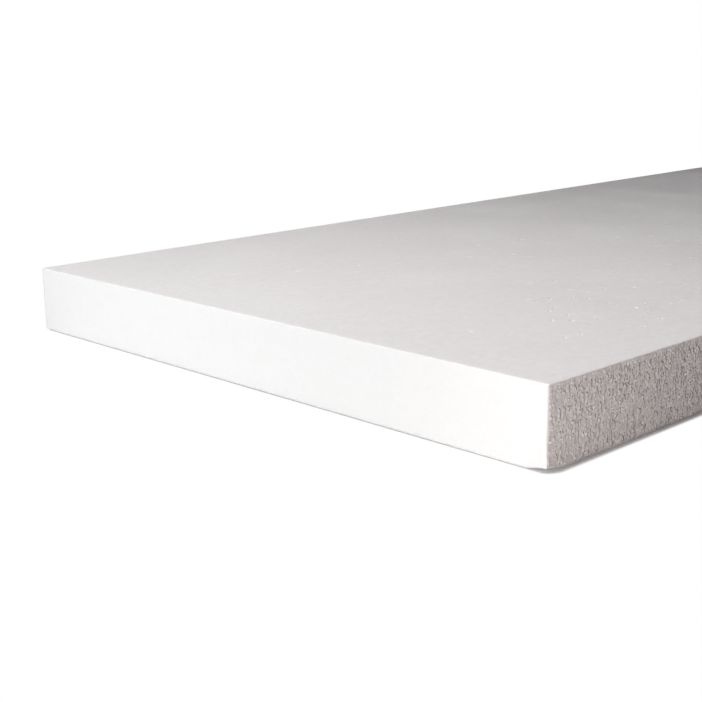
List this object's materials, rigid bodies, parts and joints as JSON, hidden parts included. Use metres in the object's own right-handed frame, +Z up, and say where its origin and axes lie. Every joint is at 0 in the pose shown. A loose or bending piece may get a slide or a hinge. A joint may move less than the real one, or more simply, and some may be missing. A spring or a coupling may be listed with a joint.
{
  "type": "expanded polystyrene board",
  "caption": "Flat rectangular slab of white expanded polystyrene foam with square butt edges, for insulating floors, walls and roofs.",
  "frame": {"origin": "centre of the bottom face, which lies on the floor", "axes": "+X along the length, +Y across the width, +Z up through the thickness"},
  "size_m": [1, 0.5, 0.05],
  "materials": {
    "expanded_polystyrene": "matt, fused beads cut open, with fine grooves between them"
  },
  "bodies": {
    "root": {"board": "expanded_polystyrene"}
  },
  "joints": []
}
